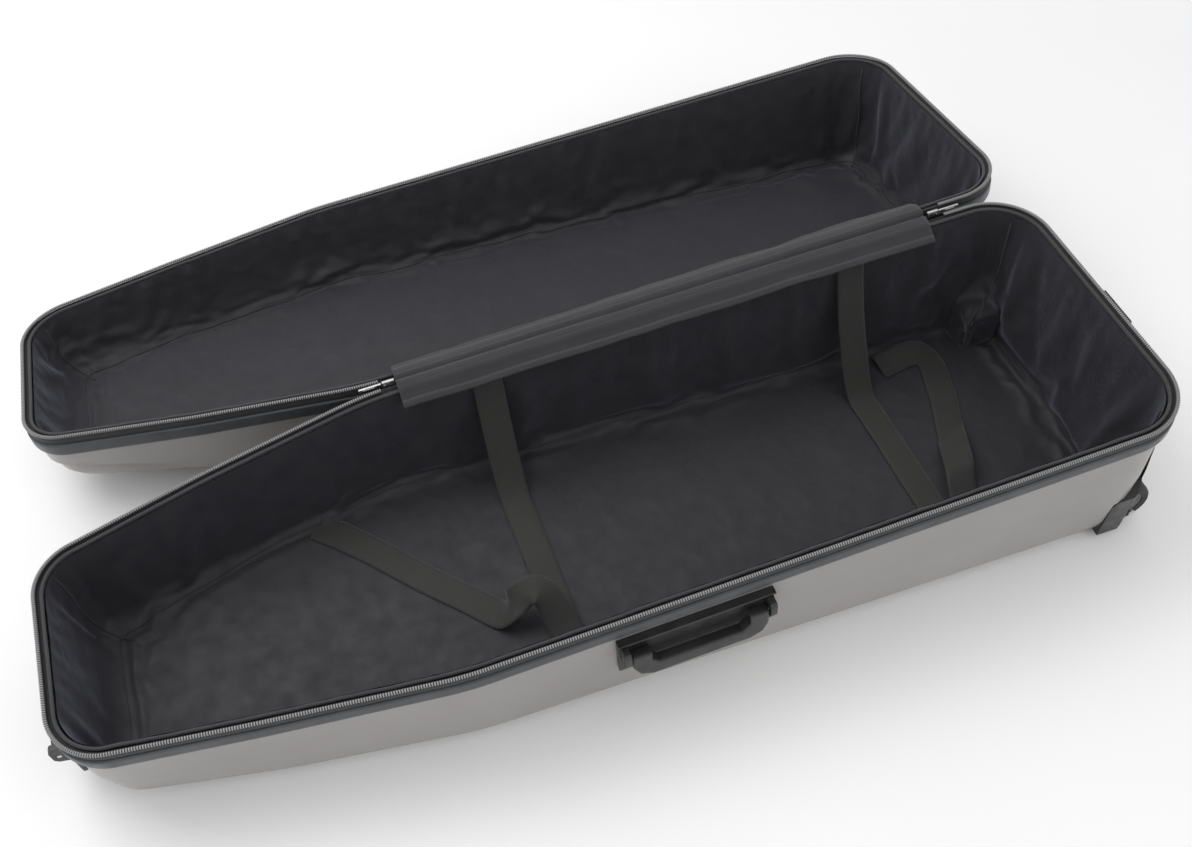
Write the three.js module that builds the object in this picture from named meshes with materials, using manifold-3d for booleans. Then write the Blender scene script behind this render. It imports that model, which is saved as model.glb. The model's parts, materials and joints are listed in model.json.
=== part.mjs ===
// Long tapered travel case, lying open: a deep base shell on wheels and a shallower lid behind it.
// Everything of the base is laid out in the rim frame: the rim's top is z = 0, +X runs to the wide
// end, y = 0 is the hinge side and the base lies towards -Y. Both shells get deeper towards +X, so
// the base group is turned until its flat bottom is level.
import * as THREE from 'three';
import { mergeVertices } from 'three/addons/utils/BufferGeometryUtils.js';
import Module from 'manifold-3d';

const wasm = await Module();
wasm.setup();

// ---- driving dimensions (mm) ----------------------------------------------------------------------
const LENGTH = 1300;
const WIDTH = 406;
const HALF = LENGTH / 2;

// Planform corners, counter-clockwise from the front wide corner: x, y, fillet radius, arc steps.
const PLAN = [
  [HALF, -WIDTH, 79, 8],
  [HALF, 0, 77, 8],
  [-240, 0, 400, 2],
  [-445, -41, 400, 2],
  [-HALF, -92, 61, 7],
  [-HALF, -345, 70, 7],
  [-440, -377.5, 400, 2],
  [-230, -WIDTH, 400, 2],
];
const HINGE_STRAIGHT = 18; // the planform point that ends the straight hinge side

const BASE_DEPTH = 191; // rim to bottom at mid length
const BASE_SLOPE = 0.062; // extra depth per mm towards the wide end
const LID_DEPTH = 146.8; // chosen so that the open lid lies on the ground along its far edge
const LID_SLOPE = 0.0705;

const WALL = 3;
const WALL_INSET = 5; // shell wall inside the rim's outer edge
const DRAFT = 7; // how far the wall leans in by the bottom
const EDGE_R = 30; // bottom edge rounding
const EDGE_R_NARROW = 45; // and at the narrow end
const LINING_GAP = 0.5;
const LINING = 2.4;
const SHELL_TOP = -5.6; // where the shell's wall ends below the rim's top
const LINING_TOP = -5;

const HINGE_FROM = -199; // the cloth hinge runs along the rim from here
const HINGE_TO = 515; // to here
const HINGE_OUT = 5; // hinge line behind the rim
const HINGE_UP = 2.6; // and above it: half the gap between the closed rims
const HINGE_TILT = 0.004; // the soft hinge lets the lid sag towards the narrow end
const LID_OPEN = THREE.MathUtils.degToRad(188);

const FLOOR_CLEAR = 6; // shell bottom above the ground
const WHEEL_R = 33;
const WHEEL_W = 24;
const WHEEL_X = 621;
const WHEEL_Y = [-371, -35];

const GAP = 0.4;
const WEB = 38; // strap width
const WEB_T = 1.6; // thickness of webbing and of the hinge cloth
const AXLE_R = 4;
const HANDLE_Z = -43; // top of both handle trays below the rim's top
const SIDE_HANDLE = 184;
const END_HANDLE = 166;

const floorTilt = Math.atan(BASE_SLOPE);

// ---- materials ------------------------------------------------------------------------------------
function paint(colour, roughness, metalness) {
  return new THREE.MeshStandardMaterial({ color: colour, roughness, metalness });
}
const SHELL = paint(0x9a9691, 0.45, 0.0);
const BAND = paint(0x4a4e54, 0.5, 0.0);
const TAPE = paint(0x17171a, 0.9, 0.0);
const COIL = paint(0x6e6e70, 0.4, 0.2);
const CLOTH = paint(0x2b2b31, 0.8, 0.0);
const PIPING = paint(0x3c3c42, 0.6, 0.0);
const WEBBING = paint(0x1c1c20, 0.85, 0.0);
const PLASTIC = paint(0x1e1f21, 0.5, 0.0);
const STEEL = paint(0xb9bbbd, 0.3, 1.0);
const RUBBER = paint(0x161616, 0.9, 0.0);
const HUB = paint(0x55585c, 0.5, 0.0);

// ---- planform -------------------------------------------------------------------------------------
function offsetCorner(i, inset) {
  const n = PLAN.length;
  const at = (k) => new THREE.Vector2(PLAN[(k + n) % n][0], PLAN[(k + n) % n][1]);
  const [before, here, after] = [at(i - 1), at(i), at(i + 1)];
  const e1 = here.clone().sub(before).normalize();
  const e2 = after.clone().sub(here).normalize();
  const n1 = new THREE.Vector2(-e1.y, e1.x);
  const n2 = new THREE.Vector2(-e2.y, e2.x);
  const reach = inset / (1 + n1.dot(n2));
  return here.add(n1.add(n2).multiplyScalar(reach));
}

// The case's outline, drawn inwards by `inset`; every inset gives the same number of points.
function outline(inset) {
  const corners = PLAN.map((_, i) => offsetCorner(i, inset));
  const points = [];
  PLAN.forEach(([, , fillet, steps], i) => {
    const n = corners.length;
    const here = corners[i];
    const back = corners[(i + n - 1) % n].clone().sub(here).normalize();
    const ahead = corners[(i + 1) % n].clone().sub(here).normalize();
    const half = Math.acos(back.dot(ahead)) / 2;
    const radius = fillet > 100 ? fillet : Math.max(fillet - inset, 8);
    const middle = back.clone().add(ahead).normalize();
    const centre = here.clone().addScaledVector(middle, radius / Math.sin(half));
    const start = here.clone().addScaledVector(back, radius / Math.tan(half)).sub(centre);
    const turn = Math.PI - 2 * half;
    for (let s = 0; s <= steps; s++) {
      const angle = (turn * s) / steps;
      points.push(start.clone().rotateAround(new THREE.Vector2(), angle).add(centre));
    }
  });
  return points;
}

function narrowness(x) {
  return THREE.MathUtils.smoothstep(-x, 430, 590);
}

// ---- meshes from rings of points ------------------------------------------------------------------
function signedVolume(position, index) {
  const [a, b, c] = [new THREE.Vector3(), new THREE.Vector3(), new THREE.Vector3()];
  let sum = 0;
  for (let i = 0; i < index.length; i += 3) {
    a.fromBufferAttribute(position, index[i]);
    b.fromBufferAttribute(position, index[i + 1]);
    c.fromBufferAttribute(position, index[i + 2]);
    sum += a.dot(b.cross(c));
  }
  return sum;
}

function facingOut(geometry) {
  const index = Array.from(geometry.index.array);
  if (signedVolume(geometry.attributes.position, index) < 0) {
    index.reverse();
  }
  geometry.setIndex(index);
  return geometry;
}

// Triangles over a flat ring, turned the way the ring runs.
function capFaces(ring) {
  const turn = ring.reduce((sum, p, i) => {
    const q = ring[(i + 1) % ring.length];
    return sum.add(new THREE.Vector3().crossVectors(p, q));
  }, new THREE.Vector3());
  const level = turn.normalize();
  const u = Math.abs(level.x) > 0.7 ? new THREE.Vector3(0, 0, 1) : new THREE.Vector3(1, 0, 0);
  u.addScaledVector(level, -u.dot(level)).normalize();
  const v = new THREE.Vector3().crossVectors(level, u);
  const flat = ring.map((p) => new THREE.Vector2(p.dot(u), p.dot(v)));
  const faces = THREE.ShapeUtils.triangulateShape(flat, []);
  const area = ([a, b, c]) => flat[b].clone().sub(flat[a]).cross(flat[c].clone().sub(flat[a]));
  const total = faces.reduce((sum, face) => sum + area(face), 0);
  return total < 0 ? faces.map(([a, b, c]) => [a, c, b]) : faces;
}

// Skins a stack of equal rings; `loop` joins the last ring to the first, otherwise both are capped.
function loft(rings, loop) {
  const n = rings[0].length;
  const m = rings.length;
  const index = [];
  for (let k = 0; k < (loop ? m : m - 1); k++) {
    for (let i = 0; i < n; i++) {
      const a = k * n + i;
      const b = k * n + ((i + 1) % n);
      const c = ((k + 1) % m) * n + ((i + 1) % n);
      const d = ((k + 1) % m) * n + i;
      index.push(a, b, c, a, c, d);
    }
  }
  if (!loop) {
    const last = (m - 1) * n;
    capFaces(rings[0]).forEach(([a, b, c]) => index.push(a, c, b));
    capFaces(rings[m - 1]).forEach(([a, b, c]) => index.push(last + a, last + b, last + c));
  }
  const geometry = new THREE.BufferGeometry();
  const flat = rings.flat().flatMap((p) => [p.x, p.y, p.z]);
  geometry.setAttribute('position', new THREE.Float32BufferAttribute(flat, 3));
  geometry.setIndex(index);
  return facingOut(geometry);
}

function toSolid(geometry) {
  const bare = geometry.clone();
  bare.deleteAttribute('normal');
  bare.deleteAttribute('uv');
  const merged = mergeVertices(bare, 1e-4);
  const mesh = new wasm.Mesh({
    numProp: 3,
    vertProperties: new Float32Array(merged.attributes.position.array),
    triVerts: new Uint32Array(merged.index.array),
  });
  return new wasm.Manifold(mesh);
}

function toGeometry(solid) {
  const mesh = solid.getMesh();
  const geometry = new THREE.BufferGeometry();
  geometry.setAttribute('position', new THREE.Float32BufferAttribute(mesh.vertProperties, 3));
  geometry.setIndex(Array.from(mesh.triVerts));
  return geometry;
}

function cut(geometry, ...tools) {
  const solid = tools.reduce((body, tool) => body.subtract(toSolid(tool)), toSolid(geometry));
  return toGeometry(solid);
}

function box(x0, x1, y0, y1, z0, z1) {
  const geometry = new THREE.BoxGeometry(x1 - x0, y1 - y0, z1 - z0);
  return geometry.translate((x0 + x1) / 2, (y0 + y1) / 2, (z0 + z1) / 2);
}

// A rod along Y (or along X when turned) round the point given.
function rod(x, y, z, radius, length, alongX = false, sides = 24) {
  const geometry = new THREE.CylinderGeometry(radius, radius, length, sides);
  if (alongX) {
    geometry.rotateZ(Math.PI / 2);
  }
  return geometry.translate(x, y, z);
}

// Extrudes a closed outline drawn in the Y-Z plane along X, centred on x.
function alongX(points, x, length) {
  const shape = new THREE.Shape(points.map(([y, z]) => new THREE.Vector2(y, z)));
  const geometry = new THREE.ExtrudeGeometry(shape, { depth: length, bevelEnabled: false });
  const turn = new THREE.Matrix4().makeBasis(
    new THREE.Vector3(0, 1, 0),
    new THREE.Vector3(0, 0, 1),
    new THREE.Vector3(1, 0, 0),
  );
  return geometry.applyMatrix4(turn).translate(x - length / 2, 0, 0);
}

// A line of points thickened to one side, for webbing and folded cloth.
function thicken(points, thickness) {
  const far = points.map(([y, z], i) => {
    const [y0, z0] = points[Math.max(i - 1, 0)];
    const [y1, z1] = points[Math.min(i + 1, points.length - 1)];
    const long = Math.hypot(y1 - y0, z1 - z0);
    return [y - ((z1 - z0) / long) * thickness, z + ((y1 - y0) / long) * thickness];
  });
  return [...points, ...far.reverse()];
}

// ---- pieces that follow the planform --------------------------------------------------------------
// A profile point is [inset, share of the depth, lift above it, and the same inset and lift at the
// narrow end]; `depth(x)` gives the depth.
function cupRings(profile, depth) {
  return profile.map(([inset, share, lift, insetNarrow, liftNarrow]) => {
    const near = outline(inset);
    const far = outline(insetNarrow);
    return near.map((p, i) => {
      const w = narrowness(p.x);
      const q = p.clone().lerp(far[i], w);
      return new THREE.Vector3(q.x, q.y, -share * depth(q.x) + lift + (liftNarrow - lift) * w);
    });
  });
}

function wallProfile(inset, top, floorLift, grow) {
  const profile = [];
  const steps = 4;
  for (let s = 0; s <= steps; s++) {
    const angle = (Math.PI / 2) * (1 - s / steps);
    const r = EDGE_R - grow;
    const rn = EDGE_R_NARROW - grow;
    const foot = inset + DRAFT;
    const lift = (radius) => floorLift + radius * (1 - Math.sin(angle));
    const reach = (radius) => foot + radius * (1 - Math.cos(angle));
    profile.push([reach(r), 1, lift(r), reach(rn), lift(rn)]);
  }
  profile.push([inset + 1.5, 0.52, 0, inset + 1.5, 0]);
  profile.push([inset + 1.4, 0, -40, inset + 1.4, -40]);
  profile.push([inset, 0, -33, inset, -33]);
  profile.push([inset, 0, top, inset, top]);
  return profile;
}

function filled(inset, top, floorLift, grow, depth) {
  return loft(cupRings(wallProfile(inset, top, floorLift, grow), depth), false);
}

// A closed band round the whole rim, from its cross-section given as [inset, z] pairs.
function rimLoop(section) {
  const rings = section.map(([inset, z]) => outline(inset).map((p) => new THREE.Vector3(p.x, p.y, z)));
  return loft(rings, true);
}

// The same cross-section, but only from one end of the hinge round to the other.
function rimRun(section, from, to) {
  const tracks = section.map(([inset, z]) => {
    const points = outline(inset);
    const order = [
      new THREE.Vector2(from, -inset),
      ...points.slice(HINGE_STRAIGHT),
      ...points.slice(0, HINGE_STRAIGHT),
      new THREE.Vector2(to, -inset),
    ];
    return order.map((p) => new THREE.Vector3(p.x, p.y, z));
  });
  const rings = tracks[0].map((_, i) => tracks.map((track) => track[i]));
  return loft(rings, false);
}

function roundSection(inset, z, radius, sides) {
  const section = [];
  for (let i = 0; i < sides; i++) {
    const angle = (2 * Math.PI * (i + 0.5)) / sides;
    section.push([inset + radius * Math.cos(angle), z + radius * Math.sin(angle)]);
  }
  return section;
}

// ---- assembly helpers -----------------------------------------------------------------------------
function piece(parent, name, geometry, material) {
  const mesh = new THREE.Mesh(geometry, material);
  mesh.name = name;
  parent.add(mesh);
  return mesh;
}

function frame(parent, name) {
  const group = new THREE.Group();
  group.name = name;
  parent.add(group);
  return group;
}

// The rim's bands are the same on both shells; `place` carries them to the shell they are for.
function rimPieces(parent, prefix, place) {
  const lip = [[0.6, -29], [1.2, -30], [4.6, -30], [4.6, -12.6], [1.6, -12.6], [0.6, -14]];
  piece(parent, `${prefix}_lip_band`, place(rimLoop(lip)), BAND);
  const tape = [
    [2.9, -12.3], [4.6, -12.3], [4.6, -5.2], [8.4, -5.2],
    [8.4, -4.5], [4.2, -4.5], [4.2, -2.5], [2.9, -2.5],
  ];
  piece(parent, `${prefix}_zip_tape`, place(rimLoop(tape)), TAPE);
  const coil = rimRun(roundSection(3.4, 0.1, 2, 8), HINGE_FROM - 22, HINGE_TO + 22);
  piece(parent, `${prefix}_zip_coil`, place(coil), COIL);
  piece(parent, `${prefix}_piping`, place(rimLoop(roundSection(11.2, -2.4, 2, 8))), PIPING);
}

function hingeStrip(reach) {
  const line = [[3.4, -2], [-1, 0.3], [-13.6, 0.3], [-19, -3], [-reach, -8]];
  const length = HINGE_TO - HINGE_FROM;
  return alongX(thicken(line.reverse(), WEB_T), (HINGE_FROM + HINGE_TO) / 2, length);
}

// ---- base shell with its wheel pockets ------------------------------------------------------------
const baseDepth = (x) => BASE_DEPTH + BASE_SLOPE * x;
const lidDepth = (x) => LID_DEPTH + LID_SLOPE * x;

// Level frame on the shell's bottom, inside the tilted rim frame.
const toBottom = new THREE.Matrix4()
  .makeTranslation(0, 0, -BASE_DEPTH)
  .multiply(new THREE.Matrix4().makeRotationY(floorTilt));

function pocket(grow) {
  const [front, rear] = WHEEL_Y;
  const deep = WHEEL_W / 2 + 13 + grow;
  const x0 = WHEEL_X - 44 - grow;
  const top = 70 + grow;
  return [
    box(x0, HALF + 60, front - 60, front + deep, -40, top),
    box(x0, HALF + 60, rear - deep, rear + 60, -40, top),
  ].map((geometry) => geometry.applyMatrix4(toBottom));
}

// A cup of even thickness; each pocket pushes its walls inwards.
function cup(inset, top, floorLift, grow, thickness, depth, pockets = () => []) {
  const outer = cut(filled(inset, top, floorLift, grow, depth), ...pockets(0));
  const inside = filled(inset + thickness, top + 5, floorLift + thickness, grow + thickness, depth);
  return cut(outer, cut(inside, ...pockets(thickness)));
}

const liningInset = WALL_INSET + WALL + LINING_GAP;
const liningLift = WALL + LINING_GAP;

function baseShellPieces(base) {
  const shell = cup(WALL_INSET, SHELL_TOP, 0, 0, WALL, baseDepth, pocket);
  piece(base, 'base_shell', shell, SHELL);
  const behind = (grow) => pocket(WALL + LINING_GAP + grow);
  const lining = cup(liningInset, LINING_TOP, liningLift, liningLift, LINING, baseDepth, behind);
  piece(base, 'base_lining', lining, CLOTH);
  rimPieces(base, 'base', (geometry) => geometry);
  piece(base, 'base_hinge_band', hingeStrip(33), CLOTH);
}

// ---- lid ------------------------------------------------------------------------------------------
// The lid is drawn like the base and turned over on to it, closed; the hinge then swings it open.
function onLid(geometry) {
  const flip = new THREE.Matrix4().makeScale(1, 1, -1).setPosition(0, 0, 2 * HINGE_UP);
  return facingOut(mergeVertices(bareOf(geometry), 1e-4).applyMatrix4(flip));
}

function bareOf(geometry) {
  geometry.deleteAttribute('normal');
  geometry.deleteAttribute('uv');
  return geometry;
}

function lidPieces(base) {
  const pivot = frame(base, 'lid_pivot');
  pivot.position.set(0, HINGE_OUT, HINGE_UP);
  pivot.rotation.y = -HINGE_TILT;
  const swing = frame(pivot, 'lid_swing');
  swing.rotation.x = -LID_OPEN;
  const untilt = frame(swing, 'lid_untilt');
  untilt.rotation.y = HINGE_TILT;
  const lid = frame(untilt, 'lid');
  lid.position.set(0, -HINGE_OUT, -HINGE_UP);
  piece(lid, 'lid_shell', onLid(cup(WALL_INSET, SHELL_TOP, 0, 0, WALL, lidDepth)), SHELL);
  const lining = cup(liningInset, LINING_TOP, liningLift, liningLift, LINING, lidDepth);
  piece(lid, 'lid_lining', onLid(lining), CLOTH);
  rimPieces(lid, 'lid', onLid);
  piece(lid, 'lid_hinge_flap', onLid(hingeStrip(29)), CLOTH);
}

// ---- carry handles --------------------------------------------------------------------------------
// Own frame: the wall is y = 0, +Y points away from it, z = 0 is the tray's top edge.
const TRAY_H = 64;
const TRAY_T = 5;
const FLANGE_OUT = 10;
const FLANGE_T = 5;
const EAR_T = 8;
const PIN_Y = 14;
const PIN_Z = -21;
const PIN_R = 2.6;
const GRIP_T = 14;
const LUG = 4.4; // the grip's arms end this far above their pins, so that they turn clear of the tray
const GRIP_DROP = 39;
const GRIP_BAR = 20;
const GRIP_ARM = 23;
const GRIP_TILT = THREE.MathUtils.degToRad(4);

function trayGeometry(length) {
  const profile = [
    [0, 0], [FLANGE_OUT, 0], [FLANGE_OUT, -FLANGE_T + 2], [FLANGE_OUT - 2, -FLANGE_T],
    [TRAY_T, -FLANGE_T], [TRAY_T, -TRAY_H], [0, -TRAY_H],
  ];
  return alongX(profile, 0, length);
}

function earGeometry(x) {
  const profile = [
    [TRAY_T + GAP, -FLANGE_T - GAP], [PIN_Y + 5, -FLANGE_T - GAP], [PIN_Y + 8, -FLANGE_T - 6],
    [PIN_Y + 8, PIN_Z - 6], [PIN_Y + 4, PIN_Z - 11], [TRAY_T + GAP, PIN_Z - 16],
  ];
  return cut(alongX(profile, x, EAR_T), rod(x, PIN_Y, PIN_Z, PIN_R + GAP, EAR_T + 4, true));
}

function gripGeometry(width) {
  const half = width / 2;
  const bar = GRIP_DROP - GRIP_BAR;
  const outer = [
    [-half, LUG], [-half, -GRIP_DROP + 22], [-half + 7, -GRIP_DROP + 7], [-half + 22, -GRIP_DROP],
    [half - 22, -GRIP_DROP], [half - 7, -GRIP_DROP + 7], [half, -GRIP_DROP + 22], [half, LUG],
    [half - GRIP_ARM, LUG], [half - GRIP_ARM, -bar + 9], [half - GRIP_ARM - 9, -bar],
    [-half + GRIP_ARM + 9, -bar], [-half + GRIP_ARM, -bar + 9], [-half + GRIP_ARM, LUG],
  ];
  const shape = new THREE.Shape(outer.map(([x, z]) => new THREE.Vector2(x, z)));
  const edge = 3;
  const options = { depth: GRIP_T - 2 * edge, bevelSize: edge, bevelThickness: edge, bevelSegments: 2 };
  const geometry = new THREE.ExtrudeGeometry(shape, { ...options, bevelOffset: -edge });
  geometry.translate(0, 0, -GRIP_T / 2 + edge);
  geometry.rotateX(Math.PI / 2);
  return cut(geometry, rod(0, 0, 0, PIN_R + GAP, width + 10, true));
}

function handle(parent, prefix, length) {
  piece(parent, `${prefix}_tray`, trayGeometry(length), PLASTIC);
  const earX = length / 2 - EAR_T / 2 - 3;
  const width = length - 2 * (EAR_T + 3) - 2;
  [['left', -1], ['right', 1]].forEach(([side, sign]) => {
    piece(parent, `${prefix}_ear_${side}`, earGeometry(sign * earX), PLASTIC);
    const pinX = sign * (earX - 8);
    piece(parent, `${prefix}_pin_${side}`, rod(pinX, PIN_Y, PIN_Z, PIN_R, EAR_T + 16, true), STEEL);
  });
  const grip = piece(parent, `${prefix}_grip`, gripGeometry(width), PLASTIC);
  grip.position.set(0, PIN_Y, PIN_Z);
  grip.rotation.x = GRIP_TILT;
}

function handlePieces(base) {
  const side = frame(base, 'side_handle');
  side.position.set(25, -WIDTH + WALL_INSET + 1.1, HANDLE_Z);
  side.rotation.z = Math.PI;
  handle(side, 'side_handle', SIDE_HANDLE);
  const end = frame(base, 'end_handle');
  end.position.set(-HALF + WALL_INSET + 1.1, -220, HANDLE_Z);
  end.rotation.z = Math.PI / 2;
  handle(end, 'end_handle', END_HANDLE);
}

// ---- wheels and feet, in the level frame on the shell's bottom ------------------------------------
function housingGeometry(y, outside) {
  const x0 = WHEEL_X - 43.5;
  const profile = [
    [x0, 1], [x0, 62], [x0 + 8, 69.5], [HALF - 16, 69.5], [HALF - 10, 118], [HALF - 4, 116],
    [HALF + 4, 96], [HALF + 8, 66], [HALF + 8, 24], [HALF + 2, 1],
  ];
  const shape = new THREE.Shape(profile.map(([x, z]) => new THREE.Vector2(x, z)));
  const deep = WHEEL_W + 22;
  const block = new THREE.ExtrudeGeometry(shape, { depth: deep, bevelEnabled: false });
  block.rotateX(Math.PI / 2).translate(0, y + deep / 2 + outside * 1.5, 0);
  const guard = loft(
    [-60, 130].map((z) => outline(1).map((p) => new THREE.Vector3(p.x, p.y, z))),
    false,
  );
  const shell = filled(WALL_INSET - GAP, 0, -GAP, 0, baseDepth).applyMatrix4(toBottom.clone().invert());
  const clear = box(x0 - 1, HALF + 40, -WIDTH - 40, 40, -60, 69.6);
  const keepOut = toSolid(shell).subtract(toSolid(clear));
  const room = WHEEL_R + 4;
  const side = WHEEL_W / 2 + 2;
  const mouth = box(WHEEL_X - room, WHEEL_X + room, y - side, y + side, -60, 20);
  const slot = rod(WHEEL_X, y, WHEEL_R - FLOOR_CLEAR, room, 2 * side, false, 48);
  const bore = rod(WHEEL_X, y, WHEEL_R - FLOOR_CLEAR, AXLE_R + GAP, 120);
  const screwHole = rod(HALF, y, 104, 3, 80, true);
  const solid = toSolid(block)
    .intersect(toSolid(guard))
    .subtract(keepOut)
    .subtract(toSolid(slot))
    .subtract(toSolid(mouth))
    .subtract(toSolid(bore))
    .subtract(toSolid(screwHole));
  return toGeometry(solid);
}

function lathe(points, steps = 40) {
  return new THREE.LatheGeometry(points.map(([r, h]) => new THREE.Vector2(r, h)), steps);
}

function wheelPieces(level, prefix, y, outside) {
  const z = WHEEL_R - FLOOR_CLEAR;
  const half = WHEEL_W / 2;
  piece(level, `${prefix}_housing`, housingGeometry(y, outside), PLASTIC);
  const tyre = lathe([
    [22, -half + 2], [29, -half], [32, -half + 3], [WHEEL_R, -5], [WHEEL_R, 5], [32, half - 3], [29, half],
    [22, half - 2], [22, -half + 2],
  ]);
  piece(level, `${prefix}_tyre`, tyre, RUBBER).position.set(WHEEL_X, y, z);
  const hub = lathe([
    [4.6, -half + 1], [9, -half + 1], [11, -6], [19, -6], [21.6, -9], [21.6, 9], [19, 6], [11, 6],
    [9, half - 1], [4.6, half - 1], [4.6, -half + 1],
  ]);
  piece(level, `${prefix}_hub`, hub, HUB).position.set(WHEEL_X, y, z);
  piece(level, `${prefix}_axle`, rod(WHEEL_X, y, z, AXLE_R, WHEEL_W + 20), STEEL);
}

function footGeometry() {
  const profile = [[0, -FLOOR_CLEAR], [17, -FLOOR_CLEAR], [20, -5], [20, -GAP], [0, -GAP]];
  return lathe(profile, 32).rotateX(Math.PI / 2);
}

function groundPieces(level) {
  wheelPieces(level, 'front_wheel', WHEEL_Y[0], -1);
  wheelPieces(level, 'rear_wheel', WHEEL_Y[1], 1);
  [['front', -285], ['rear', -165]].forEach(([side, y]) => {
    piece(level, `foot_${side}`, footGeometry(), RUBBER).position.set(-500, y, 0);
  });
}

// ---- hold-down straps, in the level frame ---------------------------------------------------------
const FLOOR_TOP = WALL + LINING_GAP + LINING + GAP;
const RING_R = 1.8;
const RING_Z = 14;
const RING_DEEP = 24;

// Hangs from under the hinge band, leaves the wall and lies over the floor to the front seam.
function strapGeometry(x) {
  const depth = baseDepth(x);
  const line = [
    [-14, depth - 16], [-25, depth * 0.78], [-48, depth * 0.5], [-78, depth * 0.22], [-104, FLOOR_TOP + 9],
    [-128, FLOOR_TOP + 2], [-155, FLOOR_TOP], [-358, FLOOR_TOP],
  ];
  return alongX(thicken(line.reverse(), WEB_T), x, WEB);
}

function sweepLoop(points, radius, sides) {
  const n = points.length;
  const up = new THREE.Vector3(0, 0, 1);
  const rings = points.map((p, i) => {
    const along = points[(i + 1) % n].clone().sub(points[(i + n - 1) % n]).normalize();
    const out = along.clone().cross(up).normalize();
    return Array.from({ length: sides }, (_, s) => {
      const angle = (2 * Math.PI * s) / sides;
      return p.clone()
        .addScaledVector(out, radius * Math.cos(angle))
        .addScaledVector(up, radius * Math.sin(angle));
    });
  });
  return loft(rings, true);
}

// Rectangular wire ring, its near bar on its own origin along X, lying towards +Y.
function ringGeometry() {
  const half = WEB / 2 + 4;
  const bend = 5;
  const points = [];
  const corners = [[half, 0], [half, RING_DEEP], [-half, RING_DEEP], [-half, 0]];
  corners.forEach(([x, y], i) => {
    const cx = x - Math.sign(x) * bend;
    const cy = y === 0 ? bend : RING_DEEP - bend;
    for (let s = 0; s <= 4; s++) {
      const angle = -Math.PI / 2 + (Math.PI / 2) * (i + s / 4);
      points.push(new THREE.Vector3(cx + bend * Math.cos(angle), cy + bend * Math.sin(angle), 0));
    }
  });
  return sweepLoop(points, RING_R, 10);
}

// Webbing folded round a bar at y; `way` is +1 when its two layers run off towards -Y.
function foldGeometry(x, y, way, reach) {
  const wrap = RING_R + GAP + 1.2;
  const line = [[y - way * reach, FLOOR_TOP + WEB_T + GAP + 1.3]];
  for (let s = 0; s <= 6; s++) {
    const angle = -Math.PI / 2 + (Math.PI * s) / 6;
    line.push([y + way * wrap * Math.cos(angle), RING_Z + wrap * Math.sin(angle)]);
  }
  line.push([y - way * reach, RING_Z - 1]);
  return alongX(thicken(way > 0 ? line.reverse() : line, way > 0 ? 1.2 : -1.2), x, WEB - 2);
}

function strapSet(level, prefix, strapX, ringX, ringY, tail) {
  const front = ringY - RING_DEEP;
  piece(level, `${prefix}_strap`, strapGeometry(strapX), WEBBING);
  const ring = piece(level, `${prefix}_ring`, ringGeometry(), STEEL);
  ring.position.set(ringX, front, RING_Z);
  piece(level, `${prefix}_ring_tab`, foldGeometry(ringX, front, 1, 20), WEBBING);
  piece(level, `${prefix}_tail_fold`, foldGeometry(ringX, ringY, -1, 22), WEBBING);
  const line = [
    [0, FLOOR_TOP + 15], [18, FLOOR_TOP + 30], [42, FLOOR_TOP + 34], [66, FLOOR_TOP + 20],
    [92, FLOOR_TOP + 6], [120, FLOOR_TOP + 2], [tail.length, FLOOR_TOP + 2],
  ];
  const mesh = piece(level, `${prefix}_tail`, alongX(thicken(line, WEB_T), 0, WEB), WEBBING);
  mesh.position.set(ringX + tail.dx, ringY + tail.dy, 0);
  mesh.rotation.z = tail.heading;
}

function strapPieces(level) {
  const left = { dx: -14, dy: 20, length: 318, heading: THREE.MathUtils.degToRad(46) };
  strapSet(level, 'left', -100, -100, -318, left);
  const right = { dx: 6, dy: 20, length: 215, heading: THREE.MathUtils.degToRad(-25) };
  strapSet(level, 'right', 394, 438, -300, right);
}

// ---- zip sliders and the rim plate ----------------------------------------------------------------
function sliderPieces(base, prefix, x, way) {
  const y = 3.6;
  const body = alongX([[-2.4, -2.6], [2.4, -2.6], [2.6, 1], [1.6, 4.6], [-1.6, 4.6], [-2.6, 1]], 0, 15);
  const eye = rod(way * 4.6, 0, 1.4, 1.3, 12, false, 16);
  piece(base, `${prefix}_slider`, cut(body, eye), STEEL).position.set(x, y, 0);
  const slit = box(8, 22, -3, 3, -0.9, 0.9);
  const tab = cut(box(-0.9, 27, -1.2, 1.2, -2, 2), slit);
  const pull = piece(base, `${prefix}_pull`, tab, STEEL);
  pull.position.set(x + way * 9.8, y, 1.4);
  pull.rotation.z = way > 0 ? 0 : Math.PI;
}

function trimPieces(base) {
  sliderPieces(base, 'wide_zip', HINGE_TO + 10, 1);
  sliderPieces(base, 'narrow_zip', HINGE_FROM - 10, -1);
  const plate = box(HALF + 0.2, HALF + 4.5, -250, -194, -29, -3);
  piece(base, 'end_rim_plate', plate, PLASTIC);
}

// ---- the case -------------------------------------------------------------------------------------
function build() {
  const root = new THREE.Group();
  root.name = 'travel_case';
  const base = frame(root, 'base');
  base.rotation.y = -floorTilt;
  baseShellPieces(base);
  lidPieces(base);
  handlePieces(base);
  trimPieces(base);
  const level = frame(base, 'base_bottom');
  level.position.z = -BASE_DEPTH;
  level.rotation.y = floorTilt;
  groundPieces(level);
  strapPieces(level);
  root.updateMatrixWorld(true);
  const bounds = new THREE.Box3().setFromObject(root, true);
  const centre = bounds.getCenter(new THREE.Vector3());
  base.position.sub(new THREE.Vector3(centre.x, centre.y, bounds.min.z));
  root.updateMatrixWorld(true);
  return root;
}

export default build();
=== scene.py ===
"""Looks of the open travel case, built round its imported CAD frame."""

import json
import math

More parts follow.
